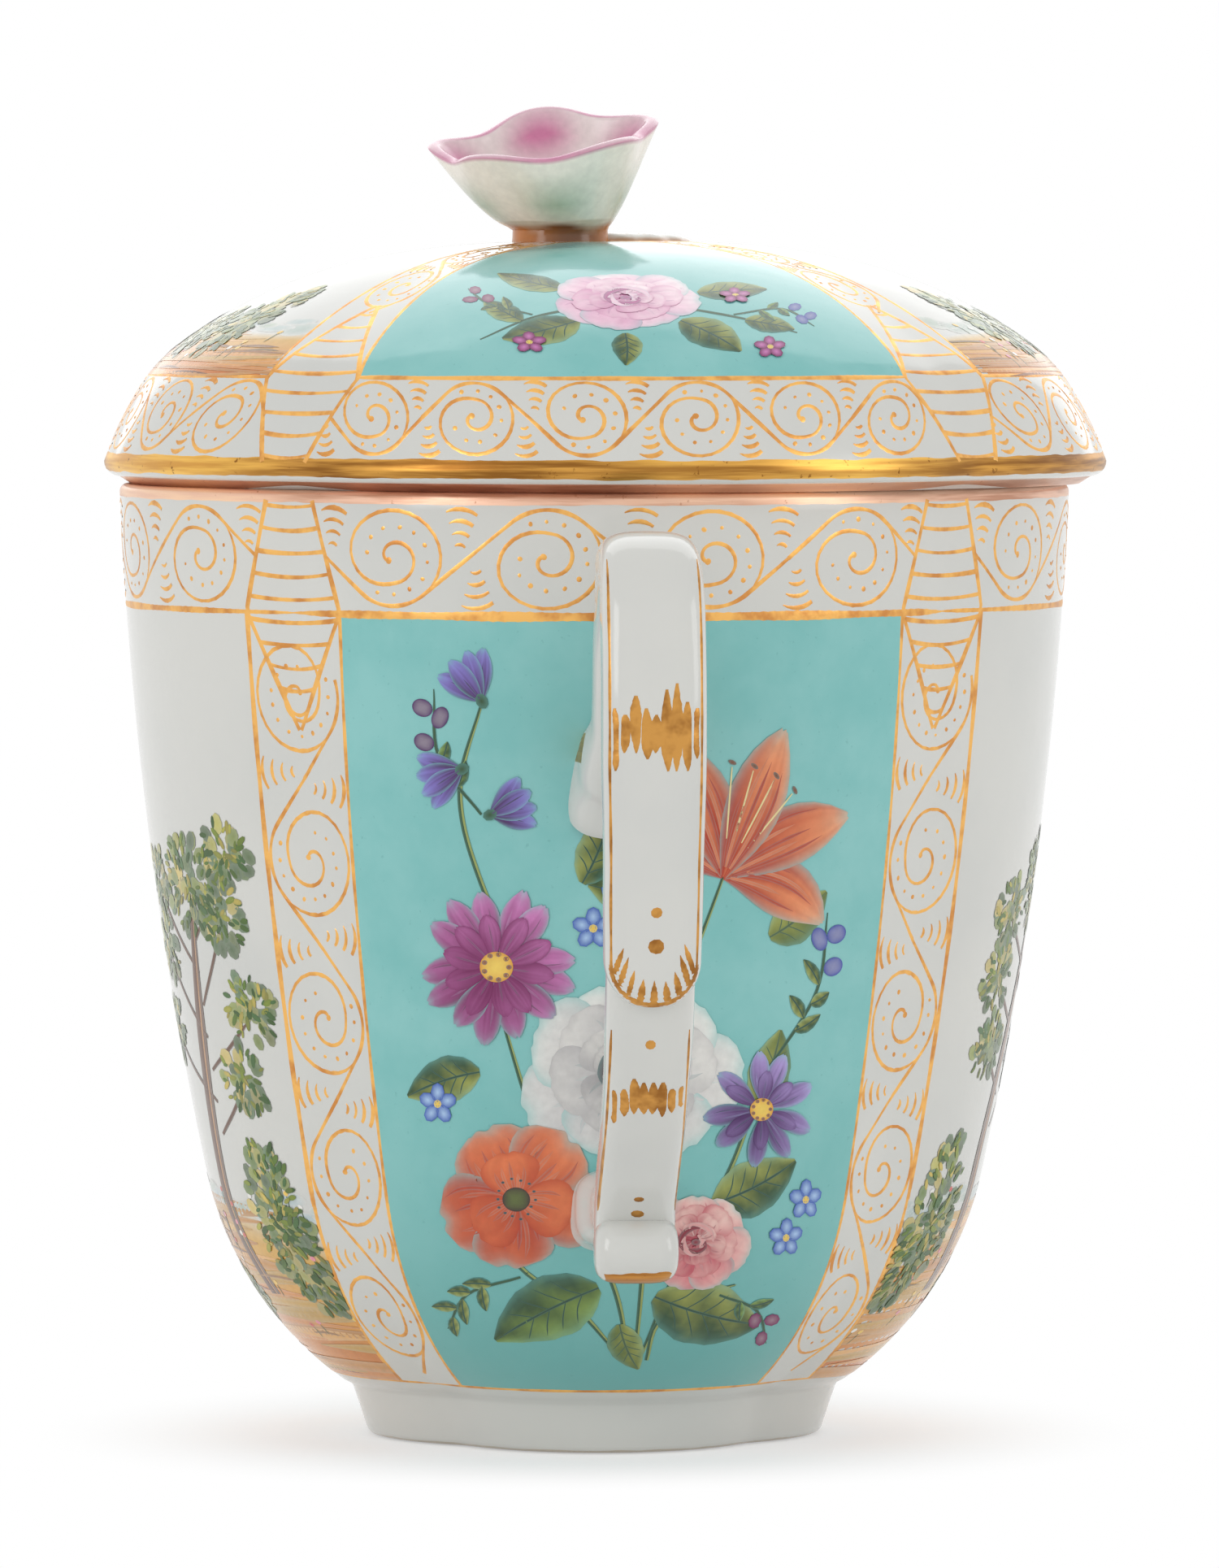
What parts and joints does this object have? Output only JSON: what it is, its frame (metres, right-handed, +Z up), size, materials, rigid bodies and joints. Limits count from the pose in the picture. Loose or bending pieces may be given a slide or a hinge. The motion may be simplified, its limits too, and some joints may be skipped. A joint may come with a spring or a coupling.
{
  "type": "covered cup",
  "caption": "Four-lobed porcelain chocolate cup on a foot ring, with a double scroll handle and a domed cover with a flower knob.",
  "frame": {"origin": "centre of the foot ring, on the table plane", "axes": "+Z up through the middle of the cup; the handle points along -Y; +X to the right when the handle faces the viewer"},
  "size_m": [0.0906, 0.1173, 0.1201],
  "materials": {
    "cup_porcelain": "gloss",
    "lid_porcelain": "gloss",
    "gilding": "gloss",
    "painting": "gloss"
  },
  "bodies": {
    "root": {"cup": "cup_porcelain", "lid": "lid_porcelain"}
  },
  "joints": []
}
